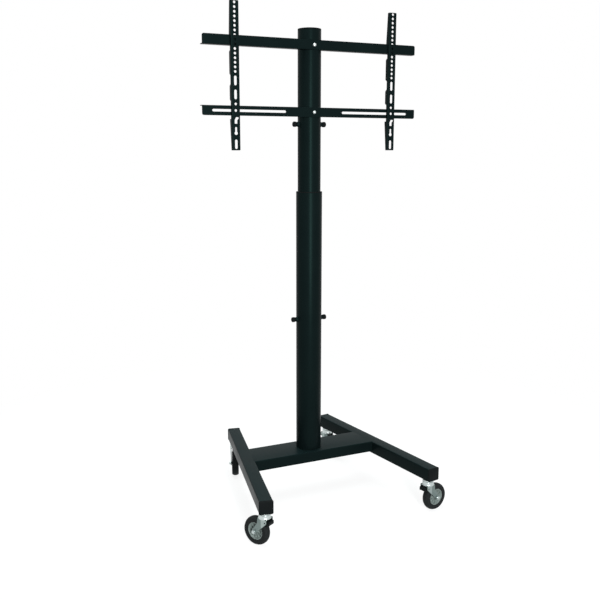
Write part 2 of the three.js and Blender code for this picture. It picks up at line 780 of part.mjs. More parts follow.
// A brake pedal: toe plate ahead of its pivot, brake shoe below it, and pins in the fork's cheeks.
function casterPedal(name) {
  const width = Math.min(pedalWidth, forkInnerWidth - 4 * seatGap);
  const plate = drawn([
    [0, -pedalRootRadius],
    [-pedalReach, -pedalToeDrop],
    [-pedalReach, pedalThickness - pedalToeDrop],
    [0, pedalRootRadius],
  ]);
  const shoeY = (brakeShoeReach - brakeShoeRadius) * Math.cos(brakeShoeAngle);
  const shoeZ = (brakeShoeReach - brakeShoeRadius) * Math.sin(brakeShoeAngle);
  const arm = drawn([
    [-pedalRootRadius, 0],
    [shoeY - brakeShoeRadius, shoeZ],
    [shoeY + brakeShoeRadius, shoeZ],
    [pedalRootRadius, 0],
  ]);
  const alongX = (radius, length) => layAlongX(rod(radius, -length / 2, length / 2));
  const pinLength = forkInnerWidth + 2 * forkWall;
  const shoe = alongX(brakeShoeRadius, width).translate(0, shoeY, shoeZ);
  const body = solid(prismAlongX(plate, width))
    .add(solid(alongX(pedalRootRadius, width)))
    .add(solid(prismAlongX(arm, width)))
    .add(solid(shoe))
    .add(solid(alongX(pedalPinRadius, pinLength)));
  const pedal = mesh(name, body, plastic);
  pedal.position.set(0, -pedalPivotAhead, pedalPivotHeight);
  return pedal;
}

// One leg with its end caps and casters; side is -1 on the left and 1 on the right.
function legAssembly(side) {
  const sideName = side < 0 ? "left" : "right";
  const leg = new THREE.Group();
  leg.position.x = (side * legSpacing) / 2;
  leg.rotation.z = side * legSplay;
  leg.add(legTube(sideName + "_leg"));
  for (const [end, forward, reach] of [["front", 1, legFrontReach], ["rear", -1, legRearReach]]) {
    const corner = end + "_" + sideName;
    const turn = casterTurns[end + (side < 0 ? "Left" : "Right")];
    const caster = new THREE.Group();
    caster.position.y = -forward * (reach - casterInset);
    caster.rotation.z = THREE.MathUtils.degToRad(turn) - side * legSplay;
    caster.add(
      casterStem(corner + "_stem"),
      casterFork(corner + "_fork"),
      casterTyre(corner + "_tyre").translateY(casterTrail).translateZ(wheelRadius),
      casterHub(corner + "_hub").translateY(casterTrail).translateZ(wheelRadius),
      ...casterAxle(corner + "_axle_bolt", corner + "_axle_nut"),
      casterPedal(corner + "_brake_pedal"),
    );
    leg.add(endCap(corner + "_end_cap", forward), caster);
  }
  return leg;
}

const stand = new THREE.Group();
stand.position.y = columnBack;
stand.add(
  legAssembly(-1),
  legAssembly(1),
  crossMember(),
  ...columnFoot(),
  lowerTube(),
  guideCollar(),
  upperTube(),
  glideRing(),
  topCap(),
  upperRail(),
  lowerRail(),
  ...railBolt("upper", upperRailCentre),
  ...railBolt("lower", lowerRailCentre),
  arm("left_arm", leftArmPlace),
  arm("right_arm", rightArmPlace),
);
for (const side of [-1, 1]) {
  stand.add(
    ...handScrew("lower", side, lowerTubeRadius, lowerTubeWall, lowerKnobHeight, lowerStudTip),
    ...handScrew("upper", side, upperTubeRadius, upperTubeWall, upperKnobHeight, upperStudTip),
  );
}

export default stand;
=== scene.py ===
from math import acos, copysign, cos, pi, radians, sin, sqrt, tan

import bmesh
import bpy
from mathutils import Matrix, Vector


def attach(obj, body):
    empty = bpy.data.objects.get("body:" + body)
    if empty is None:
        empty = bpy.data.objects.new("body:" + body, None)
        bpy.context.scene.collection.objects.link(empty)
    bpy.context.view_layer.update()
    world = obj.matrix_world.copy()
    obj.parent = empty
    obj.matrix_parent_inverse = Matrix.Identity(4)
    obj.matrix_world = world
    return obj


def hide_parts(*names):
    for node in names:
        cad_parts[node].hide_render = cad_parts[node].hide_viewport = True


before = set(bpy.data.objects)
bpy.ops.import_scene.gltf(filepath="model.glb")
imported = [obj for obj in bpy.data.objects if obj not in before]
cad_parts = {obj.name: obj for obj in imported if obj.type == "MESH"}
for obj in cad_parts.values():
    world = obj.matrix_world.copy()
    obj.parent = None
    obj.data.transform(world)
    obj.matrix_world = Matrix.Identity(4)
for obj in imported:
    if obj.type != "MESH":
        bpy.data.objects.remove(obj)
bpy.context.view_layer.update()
print("stage: frame loaded")

# Lengths are in millimetres, and each piece is turned to metres when it is finished.
toMetres = 0.001
tiny = 1e-4
gap = 0.3  # between two solids
softAngle = 38  # degrees, above which an edge is shaded sharp

stand = {
    "legSpacing": 434, "legSplay": radians(10),
    "frontReach": 328,
    "rearReach": 254,
    "baseTop": 148,
    "legSide": 40,
    "casterInset": 25,
}
stand["back"] = (stand["frontReach"] - stand["rearReach"]) / 2 * cos(stand["legSplay"])


def shift(x, y, z):
    return Matrix.Translation((x, y, z))


columnPlace = shift(0, stand["back"], 0)


def onBase(x, y, z):  # a place given from the column's middle, at the level of the base's top
    return columnPlace @ shift(x, y, stand["baseTop"] + z)


def camelName(name):  # front_left_axle_nut becomes frontLeftAxleNut
    first, *rest = name.split("_")
    return first + "".join(word.capitalize() for word in rest)


# Node building

class Wire:  # a socket in an expression
    def __init__(self, graph, socket):
        self.graph = graph
        self.socket = socket

    def worked(self, operation, first, second):
        return self.graph.node("ShaderNodeMath", {"operation": operation}, {0: first, 1: second})[0]

    def __add__(self, other):
        return self.worked("ADD", self, other)

    def __radd__(self, other):
        return self.worked("ADD", other, self)

    def __mul__(self, other):
        return self.worked("MULTIPLY", self, other)

    def __rmul__(self, other):
        return self.worked("MULTIPLY", other, self)


class Made:  # a node, whose outputs are wires
    def __init__(self, graph, node):
        self.graph = graph
        self.node = node

    def __getitem__(self, key):
        return Wire(self.graph, self.node.outputs[key])


class Graph:
    def __init__(self, tree):
        self.tree = tree

    def node(self, kind, settings=None, sockets=None):
        node = self.tree.nodes.new(kind)
        for key, value in (settings or {}).items():
            setattr(node, key, value)
        for key, value in (sockets or {}).items():
            values = value if isinstance(value, list) else [value]
            for single in values:
                if isinstance(single, Wire):
                    self.tree.links.new(single.socket, node.inputs[key])
                else:
                    node.inputs[key].default_value = single
        return Made(self, node)

    def ranged(self, value, low, high, toLow=0.0, toHigh=1.0):
        return self.node(
            "ShaderNodeMapRange",
            {"clamp": True},
            {"Value": value, "From Min": low, "From Max": high, "To Min": toLow, "To Max": toHigh},
        )["Result"]

    def mixed(self, factor, first, second):  # colours
        sockets = {"Factor": factor, 6: first, 7: second}
        return self.node("ShaderNodeMix", {"data_type": "RGBA"}, sockets)[2]

    def noise(self, where, scale, detail=2.0, roughness=0.5):
        sockets = {"Vector": where, "Scale": scale, "Detail": detail, "Roughness": roughness}
        return self.node("ShaderNodeTexNoise", {}, sockets)["Fac"]

    def cells(self, where, scale):
        return self.node("ShaderNodeTexVoronoi", {}, {"Vector": where, "Scale": scale})["Distance"]

    def stretched(self, where, scale):
        return self.node("ShaderNodeMapping", {}, {"Vector": where, "Scale": scale})["Vector"]

    def light(self, kind, colour, strength):  # Emission or Background
        return self.node("ShaderNode" + kind, {}, {"Color": colour, "Strength": strength})[kind]

    def blended(self, factor, first, second):  # shaders
        return self.node("ShaderNodeMixShader", {}, {0: factor, 1: first, 2: second})["Shader"]

    def shown(self):  # 1 for the rays that see the pale background, 0 for those that light the stand
        path = self.node("ShaderNodeLightPath")
        rays = path["Is Camera Ray"] + path["Is Glossy Ray"] + path["Is Transmission Ray"]
        return self.ranged(rays, 0.0, 1.0)


# Finishes

def emptied(owner):  # the graph of a material or a world
    owner.use_nodes = True
    owner.node_tree.nodes.clear()
    return Graph(owner.node_tree)


def startFinish(name):
    material = bpy.data.materials.new(name)
    graph = emptied(material)
    return material, graph, graph.node("ShaderNodeTexCoord")["Object"]


def endFinish(graph, colour, roughness, constants, height, bump):
    bumped = {"Height": height, "Strength": bump[0], "Distance": bump[1]}
    normal = graph.node("ShaderNodeBump", {}, bumped)["Normal"]
    sockets = {"Base Color": colour, "Roughness": roughness, "Normal": normal, **constants}
    shader = graph.node("ShaderNodeBsdfPrincipled", {}, sockets)["BSDF"]
    graph.node("ShaderNodeOutputMaterial", {}, {"Surface": shader})


def upwardShare(graph):  # from nothing on an upright face to 1 on a level one
    normal = graph.node("ShaderNodeNewGeometry")["Normal"]
    up = graph.node("ShaderNodeSeparateXYZ", {}, {"Vector": normal})["Z"]
    return graph.ranged(up, 0.55, 1.0)


powderCoat = {
    "deep": (0.0029, 0.0058, 0.0064, 1),
    "light": (0.0056, 0.0108, 0.0108, 1),
    # painted top light: this colour is partly settled dust and partly the light from above painted onto
    # upward faces
    "dust": (0.0098, 0.0225, 0.024, 1), "dustShare": 0.65,
    "roughness": (0.29, 0.39),
    "specular": 0.034,
    "tint": (0.45, 1.0, 0.9, 1),
    "cloudScale": 9,
    "peelScale": 620,
    "gritScale": 2666,
    "fleckScale": 310,
    "dustScale": 5,
    "weldScale": 300,
    "bump": (0.5, 0.00005),  # strength, metres
}


def makePowderCoat(name, look, rippled=False):
    material, graph, where = startFinish(name)
    cloud = graph.noise(where, look["cloudScale"], 4.0, 0.6)
    peel = graph.noise(where, look["peelScale"], 2.0, 0.45)
    grit = graph.noise(where, look["gritScale"], 1.0)
    flecks = graph.ranged(graph.cells(where, look["fleckScale"]), 0.0, 0.09, 1.0, 0.0)
    patches = graph.ranged(graph.noise(where, look["dustScale"], 5.0, 0.65), 0.3, 0.7, 0.55, 1.0)
    # upward faces are lightened towards that colour: partly settled dust, partly painted light from
    # above
    dustAndTopLit = upwardShare(graph) * patches
    body = graph.mixed(cloud, look["deep"], look["light"])
    dustyAndTopLit = graph.mixed(dustAndTopLit * look["dustShare"], body, look["dust"])
    colour = graph.mixed(flecks * 0.25, dustyAndTopLit, look["dust"])
    low, high = look["roughness"]
    roughness = graph.ranged(cloud * 0.7 + peel * 0.3, 0.3, 0.7, low, high) + dustAndTopLit * 0.06
    height = peel + grit * 0.16
    if rippled:
        settings = {"wave_type": "BANDS", "bands_direction": "Z"}
        sockets = {"Vector": where, "Scale": look["weldScale"], "Distortion": 1.5}
        height = height + graph.node("ShaderNodeTexWave", settings, sockets)["Fac"] * 0.8
    constants = {"Specular IOR Level": look["specular"], "Specular Tint": look["tint"]}
    endFinish(graph, colour, roughness, constants, height, look["bump"])
    return material


# Of a moulded piece, noises are given as scale, detail and roughness. Its marks are scuffs or dirt.
moulding = {
    "deep": (0.003, 0.0042, 0.0045, 1),
    "light": (0.0062, 0.0085, 0.0088, 1),
    "marked": (0.03, 0.035, 0.036, 1),
    "cloud": (22, 3.0, 0.5),
    "cells": 1500,
    "marks": (60, 6.0, 0.7), "marksDrawnOut": (1.0, 8.0, 14.0), "marksFrom": (0.62, 0.72),
    "marksShare": 0.3, "marksRoughness": -0.08, "marksHeight": 0.3,
    "roughness": (0.5, 0.7),
    "specular": 0.06,
    "bump": (0.4, 0.00004),
}
pedalNylon = {**moulding, "roughness": (0.42, 0.6), "cells": 1100}
tyreRubber = {
    "deep": (0.0045, 0.006, 0.0065, 1),
    "light": (0.011, 0.0135, 0.014, 1),
    "marked": (0.045, 0.048, 0.046, 1),
    "cloud": (40, 4.0, 0.6),
    "grain": (1300, 3.0, 0.6),
    "marks": (130, 6.0, 0.7), "marksFrom": (0.5, 0.72), "marksShare": 0.3,
    "marksRoughness": 0.08, "marksHeight": 0.5,
    "roughness": (0.6, 0.78),
    "specular": 0.14,
    "bump": (0.5, 0.00006),
}
hubNylon = {
    "deep": (0.15, 0.196, 0.182, 1),
    "light": (0.235, 0.28, 0.267, 1),
    "marked": (0.06, 0.075, 0.07, 1),
    "cloud": (60, 4.0, 0.6),
    "grain": (1500, 2.0, 0.5),
    "marks": (95, 5.0, 0.7), "marksFrom": (0.52, 0.75), "marksShare": 0.4,
    "marksRoughness": 0.15, "marksHeight": 0.0,
    "roughness": (0.4, 0.58),
    "specular": 0.5,
    "bump": (0.4, 0.00004),
}


def makeMoulded(name, look):
    material, graph, where = startFinish(name)
    cloud = graph.noise(where, *look["cloud"])
    grain = graph.cells(where, look["cells"]) if "cells" in look else graph.noise(where, *look["grain"])
    drawnOut = graph.stretched(where, look["marksDrawnOut"]) if "marksDrawnOut" in look else where
    marks = graph.ranged(graph.noise(drawnOut, *look["marks"]), *look["marksFrom"])
    body = graph.mixed(cloud, look["deep"], look["light"])
    colour = graph.mixed(marks * look["marksShare"], body, look["marked"])
    low, high = look["roughness"]
    roughness = graph.ranged(cloud, 0.3, 0.7, low, high) + marks * look["marksRoughness"]
    height = grain + marks * look["marksHeight"]
    endFinish(graph, colour, roughness, {"Specular IOR Level": look["specular"]}, height, look["bump"])
    return material


zincPlate = {
    "clear": (0.56, 0.61, 0.6, 1),
    "blue": (0.38, 0.44, 0.45, 1),
    "straw": (0.54, 0.55, 0.47, 1),
    "stain": (0.12, 0.135, 0.13, 1),
    "roughness": (0.24, 0.44),
    "cloud": (55, 4.0, 0.6),
    "tintScale": 24,
    "brushed": (240, 4.0, 0.65),
    "spots": (420, 3.0, 0.7),
    "bump": (0.35, 0.00003),
}
# painted shade: the same zinc plate darkened part way, for the fork's ribs
halfShadedZinc = {
    **zincPlate,
    "clear": (0.34, 0.4, 0.385, 1),
    "blue": (0.26, 0.31, 0.31, 1),
    "straw": (0.36, 0.39, 0.35, 1),
    "roughness": (0.3, 0.48),
}
# painted shade: the same zinc plate darkened further, for the fork's cheeks
shadedZinc = {
    **zincPlate,
    "clear": (0.19, 0.235, 0.225, 1),
    "blue": (0.12, 0.16, 0.16, 1),
    "straw": (0.24, 0.27, 0.24, 1),
    "stain": (0.06, 0.075, 0.07, 1),
    "roughness": (0.34, 0.52),
}


def makeZincPlate(name, look):
    material, graph, where = startFinish(name)
    cloud = graph.noise(where, *look["cloud"])
    tint = graph.ranged(graph.noise(where, look["tintScale"]), 0.35, 0.65, 0.0, 0.5)
    brushed = graph.noise(graph.stretched(where, (1.0, 1.0, 9.0)), *look["brushed"])
    spots = graph.ranged(graph.noise(where, *look["spots"]), 0.66, 0.76)
    colour = graph.mixed(tint, look["clear"], look["blue"])
    colour = graph.mixed(graph.ranged(cloud, 0.55, 0.75, 0.0, 0.35), colour, look["straw"])
    colour = graph.mixed(spots * 0.4, colour, look["stain"])
    low, high = look["roughness"]
    roughness = graph.ranged(cloud * 0.5 + brushed * 0.5, 0.35, 0.65, low, high) + spots * 0.2
    endFinish(graph, colour, roughness, {"Metallic": 1.0}, brushed + cloud * 0.4, look["bump"])
    return material


finishes = {
    "paint": makePowderCoat("satinPowderCoat", powderCoat),
    "weld": makePowderCoat("paintedWeld", powderCoat, True),
    "plastic": makeMoulded("blackMoulding", moulding),
    "zinc": makeZincPlate("zincPlate", zincPlate),
    "halfShadedZinc": makeZincPlate("halfShadedZinc", halfShadedZinc),
    "shadedZinc": makeZincPlate("shadedZinc", shadedZinc),
    "tyre": makeMoulded("tyreRubber", tyreRubber),
    "hub": makeMoulded("hubNylon", hubNylon),
    "pedal": makeMoulded("pedalNylon", pedalNylon),
}
slots = {"tyre": "caster_tread", "hub": "caster_hub", "pedal": "caster_pedal"}
slots |= {"plastic": "black_plastic", "paint": "painted_steel", "weld": "painted_steel"}
slots |= dict.fromkeys(("zinc", "halfShadedZinc", "shadedZinc"), "zinc_plate")
print("stage: finishes made")


# Shape building

def softLoop(points, closed=True, steps=5):  # a third value of a point is its corner's fillet
    out = []
    count = len(points)
    for i, point in enumerate(points):
        here = Vector(point[:2])
        fillet = point[2] if len(point) > 2 else 0
        if not fillet or (not closed and i in (0, count - 1)):
            out.append(here)
            continue
        toBefore = Vector(points[i - 1][:2]) - here
        toAfter = Vector(points[(i + 1) % count][:2]) - here
        turn = toBefore.angle(toAfter)
        reach = min(fillet / tan(turn / 2), toBefore.length * 0.49, toAfter.length * 0.49)
        start = here + toBefore.normalized() * reach
        end = here + toAfter.normalized() * reach
        for k in range(steps + 1):
            share = k / steps
            out.append(start * (1 - share) ** 2 + here * 2 * share * (1 - share) + end * share**2)
    return out


def arc(x, y, radius, start, sweep, steps):  # with both its ends
    angles = [start + sweep * k / steps for k in range(steps + 1)]
    return [Vector((x + radius * cos(a), y + radius * sin(a))) for a in angles]


def circleLoop(x, y, radius, steps=20):
    return arc(x, y, radius, 0, 2 * pi, steps)[:-1]


def slotLoop(x, y, width, height, steps=8):  # a round-ended slot, along its longer side
    radius, across, up = min(width, height) / 2, max(width - height, 0) / 2, max(height - width, 0) / 2
    start = -pi / 2 if width >= height else 0
    end = arc(x - across, y - up, radius, start + pi, pi, steps)
    return arc(x + across, y + up, radius, start, pi, steps) + end


def boxLoop(width, height, radius, steps=5):
    x, y = width / 2, height / 2
    return softLoop([(x, -y, radius), (x, y, radius), (-x, y, radius), (-x, -y, radius)], True, steps)


def lathe(profile, steps=56, shape=None):  # about Z; closed on itself where it starts off the axis
    bm = bmesh.new()
    rings = []
    for radius, height in profile:
        ring = []
        for k in range(steps if radius > tiny else 1):
            angle = 2 * pi * k / steps
            reach = shape(angle, radius, height) if shape else radius
            ring.append(bm.verts.new((reach * cos(angle), reach * sin(angle), height)))
        rings.append(ring)
    if len(rings[0]) > 1:
        rings.append(rings[0])
    for low, high in zip(rings, rings[1:]):
        for k in range(steps):
            after = (k + 1) % steps
            corners = [low[k % len(low)], low[after % len(low)]]
            corners += [high[after % len(high)], high[k % len(high)]]
            corners = list(dict.fromkeys(corners))
            if len(corners) > 2:
                bm.faces.new(corners)
    return bm


def turned(profile, steps=56, fillet=5, shape=None):  # a lathe's profile with its corners rounded
    return lathe(softLoop(profile, profile[0][0] > tiny, fillet), steps, shape)


def rod(radius, low, high, steps=24, easeLow=0, easeHigh=0):
    return turned([(0, low), (radius, low, easeLow), (radius, high, easeHigh), (0, high)], steps)


def bridge(bm, first, second):  # faces between two closed rows of points
    for k in range(len(first)):
        after = (k + 1) % len(first)
        bm.faces.new((first[k], first[after], second[after], second[k]))


def prism(loop, low, high, hole=None):  # the outline in X and Y, from low to high along Z
    bm = bmesh.new()
    rings = []
    for points in [loop, hole] if hole else [loop]:
        rings.append([[bm.verts.new((p[0], p[1], z)) for p in points] for z in (low, high)])
    for bottom, top in rings:
        bridge(bm, bottom, top)
    for ends in zip(*rings):
        if hole:
            bridge(bm, *ends)
        else:
            bm.faces.new(ends[0])
    return bm


def boxTube(width, height, radius, wall, low, high):
    inner = boxLoop(width - 2 * wall, height - 2 * wall, radius - wall)
    return prism(boxLoop(width, height, radius), low, high, inner)


turnX = Matrix.Rotation(pi / 2, 4, "X")  # an outline in X and Z, running to -Y
layAlongX = Matrix.Rotation(pi / 2, 4, "Y")
alongX = Matrix(((0, 0, 1, 0), (1, 0, 0, 0), (0, 1, 0, 0), (0, 0, 0, 1)))  # an outline in Y and Z


def shellFrom(face):  # all faces that hang together with this one
    shell, rim = {face}, [face]
    while rim:
        beside = {f for edge in rim.pop().edges for f in edge.link_faces} - shell
        shell |= beside
        rim += beside
    return shell


def facedOut(bm):  # recalculating alone leaves some closed shells inside out
    bmesh.ops.recalc_face_normals(bm, faces=bm.faces)
    left = set(bm.faces)
    while left:
        shell = shellFrom(left.pop())
        left -= shell
        volume = 0
        for face in shell:
            first, *rest = [vertex.co for vertex in face.verts]
            volume += sum(first.dot(a.cross(b)) for a, b in zip(rest, rest[1:]))
        if volume < 0:
            bmesh.ops.reverse_faces(bm, faces=list(shell))


def inScene(name, data):
    holder = bpy.data.objects.new(name, data)
    bpy.context.scene.collection.objects.link(holder)
    return holder


def asObject(bm, name="working"):
    facedOut(bm)
    mesh = bpy.data.meshes.new(name)
    bm.to_mesh(mesh)
    bm.free()
    return inScene(name, mesh)


def evaluatedMesh(holder):
    bpy.context.view_layer.update()
    shown = holder.evaluated_get(bpy.context.evaluated_depsgraph_get())
    mesh = bpy.data.meshes.new_from_object(shown)
    holder.modifiers.clear()
    bm = bmesh.new()
    bm.from_mesh(mesh)
    bpy.data.meshes.remove(mesh)
    return bm


def discard(*holders):
    for holder in holders:
        mesh = holder.data
        bpy.data.objects.remove(holder)
        bpy.data.meshes.remove(mesh)


def carved(blank, cutter, operation="DIFFERENCE"):
    first, second = asObject(blank), asObject(cutter)
    modifier = first.modifiers.new("cut", "BOOLEAN")
    modifier.operation = operation
    modifier.object = second
    modifier.solver = "EXACT"
    bm = evaluatedMesh(first)
    discard(first, second)
    return bm


def together(*parts):
    bm = bmesh.new()
    for part in parts:
        mesh = bpy.data.meshes.new("working")
        part.to_mesh(mesh)
        part.free()
        bm.from_mesh(mesh)
        bpy.data.meshes.remove(mesh)
    return bm


def moved(bm, *places):
    for place in places:
        bm.transform(place)
    return bm


def softened(bm, width, segments=2, sharper=50):  # bevels the edges that turn by more degrees than that
    bmesh.ops.remove_doubles(bm, verts=bm.verts, dist=tiny)
    limit = radians(sharper)
    edges = [e for e in bm.edges if len(e.link_faces) == 2 and e.calc_face_angle(0) > limit]
    shape = {"offset": width, "segments": segments, "profile": 0.5, "clamp_overlap": True}
    bmesh.ops.bevel(bm, geom=edges, affect="EDGES", **shape)
    return bm


def finished(name, bm, finish, body, node, place):  # node is the one that the piece replaces
    bmesh.ops.remove_doubles(bm, verts=bm.verts, dist=tiny)
    bm.transform(place)
    bm.transform(Matrix.Scale(toMetres, 4))
    piece = asObject(bm, camelName(name))
    piece.data.materials.clear()
    piece.data.materials.append(finishes[finish])
    piece.data.shade_smooth()
    piece.data.set_sharp_from_angle(angle=radians(softAngle))
    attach(piece, body)
    if node:
        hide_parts(node)
    return piece


# Geometry Nodes for what repeats

def startTree(name, inputs):
    tree = bpy.data.node_groups.new(name, "GeometryNodeTree")
    tree.interface.new_socket("Geometry", in_out="INPUT", socket_type="NodeSocketGeometry")
    for label, kind in inputs.items():
        tree.interface.new_socket(label, in_out="INPUT", socket_type="NodeSocket" + kind)
    tree.interface.new_socket("Geometry", in_out="OUTPUT", socket_type="NodeSocketGeometry")
    graph = Graph(tree)
    return tree, graph, graph.node("NodeGroupInput")


def endTree(graph, geometry, material):
    real = graph.node("GeometryNodeRealizeInstances", {}, {"Geometry": geometry})["Geometry"]
    painted = graph.node("GeometryNodeSetMaterial", {}, {"Geometry": real, "Material": material})
    graph.node("NodeGroupOutput", {}, {"Geometry": painted["Geometry"]})


def repeatTree():  # copies of what it is given, each turned and shifted on from the last
    inputs = {"Count": "Int", "Turn": "Float", "Pitch": "Vector", "Material": "Material"}
    tree, graph, given = startTree("repeatPieces", inputs)
    line = {"Count": given["Count"], "Offset": given["Pitch"]}
    points = graph.node("GeometryNodeMeshLine", {"mode": "OFFSET"}, line)["Mesh"]
    index = graph.node("GeometryNodeInputIndex")["Index"]
    turn = graph.node("ShaderNodeCombineXYZ", {}, {"Z": index * given["Turn"]})["Vector"]
    sockets = {"Points": points, "Instance": given["Geometry"], "Rotation": turn}
    copies = graph.node("GeometryNodeInstanceOnPoints", {}, sockets)["Instances"]
    endTree(graph, copies, given["Material"])
    return tree


def plateTree():  # a plate with a row of round holes, from its outline and its other openings
    inputs = {"Holes": "Int", "First Hole": "Vector", "Pitch": "Vector", "Hole Radius": "Float"}
    inputs |= {"Thickness": "Float", "Material": "Material"}
    tree, graph, given = startTree("perforatedPlate", inputs)
    outline = graph.node("GeometryNodeMeshToCurve", {}, {"Mesh": given["Geometry"]})["Curve"]
    line = {"Count": given["Holes"], "Start Location": given["First Hole"], "Offset": given["Pitch"]}
    points = graph.node("GeometryNodeMeshLine", {"mode": "OFFSET"}, line)["Mesh"]
    circle = {"Resolution": 20, "Radius": given["Hole Radius"]}
    hole = graph.node("GeometryNodeCurvePrimitiveCircle", {"mode": "RADIUS"}, circle)["Curve"]
    row = graph.node("GeometryNodeInstanceOnPoints", {}, {"Points": points, "Instance": hole})
    row = graph.node("GeometryNodeRealizeInstances", {}, {"Geometry": row["Instances"]})["Geometry"]
    loops = graph.node("GeometryNodeJoinGeometry", {}, {"Geometry": [outline, row]})["Geometry"]
    flat = graph.node("GeometryNodeFillCurve", {"mode": "TRIANGLES"}, {"Curve": loops})["Mesh"]
    rise = {"Mesh": flat, "Offset Scale": given["Thickness"], "Individual": False}
    raised = graph.node("GeometryNodeExtrudeMesh", {"mode": "FACES"}, rise)["Mesh"]
    under = graph.node("GeometryNodeFlipFaces", {}, {"Mesh": flat})["Mesh"]
    whole = graph.node("GeometryNodeJoinGeometry", {}, {"Geometry": [raised, under]})["Geometry"]
    whole = graph.node("GeometryNodeMergeByDistance", {}, {"Geometry": whole, "Distance": tiny})
    endTree(graph, whole["Geometry"], given["Material"])
    return tree


def grown(bm, tree, values):
    holder = asObject(bm)
    modifier = holder.modifiers.new(tree.name, "NODES")
    modifier.node_group = tree
    for item in tree.interface.items_tree:
        if item.item_type == "SOCKET" and item.in_out == "INPUT" and item.name in values:
            modifier[item.identifier] = values[item.name]
    out = evaluatedMesh(holder)
    discard(holder)
    return out


repeatPieces = repeatTree()
perforatedPlate = plateTree()


def edgeLoops(loops):  # outlines as bare edges, for the plate tree
    bm = bmesh.new()
    for loop in loops:
        ring = [bm.verts.new((p[0], p[1], 0)) for p in loop]
        for k in range(len(ring)):
            bm.edges.new((ring[k], ring[(k + 1) % len(ring)]))
    return bm


def plate(loops, thickness, finish, holes, first, pitch, radius):
    values = {"Holes": holes, "First Hole": first, "Pitch": pitch, "Hole Radius": radius}
    values |= {"Thickness": float(thickness), "Material": finishes[finish]}
    return grown(edgeLoops(loops), perforatedPlate, values)


def repeated(bm, count, finish, turn=0.0, pitch=(0, 0, 0)):
    values = {"Count": count, "Turn": turn, "Pitch": pitch, "Material": finishes[finish]}
    return grown(bm, repeatPieces, values)


def depthToFlat(depth, radius):  # where a depth behind the face comes to lie on the flat sheet
    if depth >= radius:
        return radius - radius * pi / 2 - (depth - radius)
    return radius - radius * acos(1 - depth / radius)


def folded(bm, radius, pieces=7):  # the flat sheet's -X side is folded back round a line along Y
    bend = radius * pi / 2
    for k in range(pieces + 1):
        geometry = list(bm.verts) + list(bm.edges) + list(bm.faces)
        place = radius - bend * k / pieces
        bmesh.ops.bisect_plane(bm, geom=geometry, dist=tiny, plane_co=(place, 0, 0), plane_no=(1, 0, 0))
    for vertex in bm.verts:
        across, along, inward = vertex.co
        if across >= radius:
            vertex.co = (across, inward, along)
            continue
        angle = min((radius - across) / radius, pi / 2)
        spare = max(radius - bend - across, 0)
        reach = radius - inward
        vertex.co = (radius - reach * sin(angle), radius - reach * cos(angle) + spare, along)
    return bm


# Base

base = {
    "legWall": 2, "legRadius": 4,
    "capThickness": 3, "capSpigot": 9, "capWall": 2, "capEdge": 1.1,
    "crossDepth": 108, "crossHeight": 35, "crossWall": 2, "crossRadius": 4,
    "beadRadius": 1.7, "beadPitch": 1.6,
    "beadShare": 0.62,  # a bead's length along its row, as a share of its width
    "footRadius": 36.7, "footThickness": 8,
    "boltRadius": 5, "boltHead": 8.5, "boltHeadHeight": 6, "boltWasher": 1.2,
    "boltTip": 49.5, "boltPlace": 20,
}


def makeLeg(side):
    sideName = "left" if side < 0 else "right"
    width, wall = stand["legSide"], base["legWall"]
    trim = base["capThickness"] + gap
    ends = trim - stand["rearReach"], stand["frontReach"] - trim
    tube = boxTube(width, width, base["legRadius"], wall, *ends)
    place = onBase(side * stand["legSpacing"] / 2, 0, -width / 2)
    place = place @ Matrix.Rotation(side * stand["legSplay"], 4, "Z")
    finished(sideName + "LegTube", tube, "paint", "base", sideName + "_leg", place @ turnX)
    plug = width - 2 * wall - 2 * gap
    hole = plug - 2 * base["capWall"]
    for end, turn, reach in (("front", 0, -stand["frontReach"]), ("rear", pi, stand["rearReach"])):
        outline = boxLoop(width, width, base["legRadius"])
        face = softened(prism(outline, 0, base["capThickness"]), base["capEdge"], 3, 60)
        spigot = prism(boxLoop(plug, plug, 2), -base["capSpigot"], 0.5, boxLoop(hole, hole, 1.5))
        inset = copysign(base["capThickness"], reach)
        spot = place @ shift(0, reach - inset, 0) @ Matrix.Rotation(turn, 4, "Z") @ turnX
        cap, corner = together(face, spigot), end + "_" + sideName
        finished(corner + "_plug", cap, "plastic", "base", corner + "_end_cap", spot)


def legFaceX(y):  # the leg's inner face, beside the cross member
    splay = stand["legSplay"]
    return stand["legSpacing"] / 2 - (stand["legSide"] / 2 + y * sin(splay)) / cos(splay)


def makeCross():
    depth, height = base["crossDepth"], base["crossHeight"]
    tube = boxTube(depth, height, base["crossRadius"], base["crossWall"], -1, 1)
    for vertex in tube.verts:
        vertex.co.z *= legFaceX(vertex.co.x) + base["legRadius"] - tiny
    place = onBase(0, 0, -height / 2) @ alongX
    finished("crossTube", tube, "paint", "base", "cross_member", place)


def makeWelds():
    radius, pitch, share = base["beadRadius"], base["beadPitch"], base["beadShare"]
    depth, height, corner = base["crossDepth"], base["crossHeight"], base["crossRadius"]
    low = stand["baseTop"] - height
    profile = [(0, -radius), (radius, -radius, radius), (radius, radius, radius), (0, radius)]
    beads = []

    def addRow(span, step, squash, place):
        bead = moved(turned(profile, 14), Matrix.Diagonal(squash))
        row = repeated(bead, int((span - 2 * corner) / pitch), "weld", 0.0, step)
        beads.append(moved(row, shift(*place)))

    for side in (-1, 1):
        for y in (-depth / 2, depth / 2):
            addRow(height, (0, 0, pitch), (1, 1, share, 1), (side * legFaceX(y), y, low + corner))
        start = corner - depth / 2
        lean = side * (legFaceX(start + pitch) - legFaceX(start))
        addRow(depth, (lean, pitch, 0), (1, share, 1, 1), (side * legFaceX(start), start, low))
    finished("weldBeads", together(*beads), "weld", "base", None, columnPlace)


